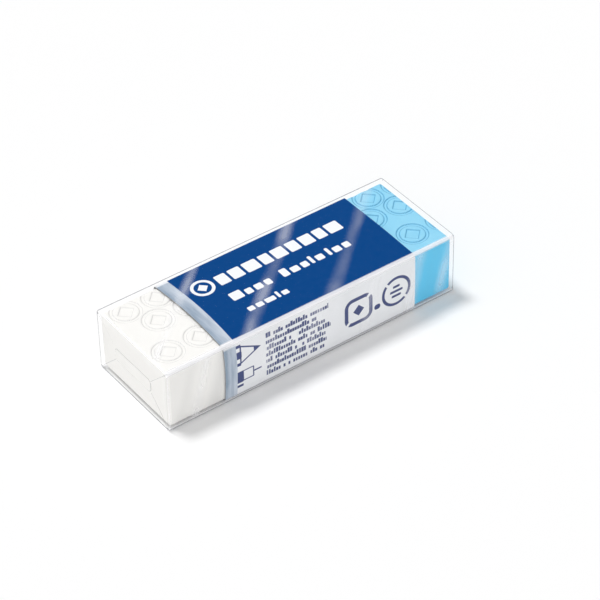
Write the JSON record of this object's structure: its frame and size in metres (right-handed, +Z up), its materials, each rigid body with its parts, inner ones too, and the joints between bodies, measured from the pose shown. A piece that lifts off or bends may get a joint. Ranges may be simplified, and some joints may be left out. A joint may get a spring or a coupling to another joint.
{
  "type": "combination eraser",
  "caption": "Two-colour block eraser, white with a light blue end, in a printed card sleeve and sealed in clear film.",
  "frame": {"origin": "middle of the film's flat underside, on the surface that the pack rests on", "axes": "+X along the bar towards its blue end, +Y to the back, +Z up through the broad face with the pressed marks"},
  "size_m": [0.066, 0.023, 0.014],
  "materials": {
    "white_vinyl": "soft matte vinyl",
    "blue_vinyl": "soft matte vinyl",
    "printed_card": "satin printed card",
    "clear_film": "glossy clear film"
  },
  "bodies": {
    "root": {"white_block": "white_vinyl", "blue_block": "blue_vinyl", "card_sleeve": "printed_card", "film_wrap": "clear_film"}
  },
  "joints": []
}
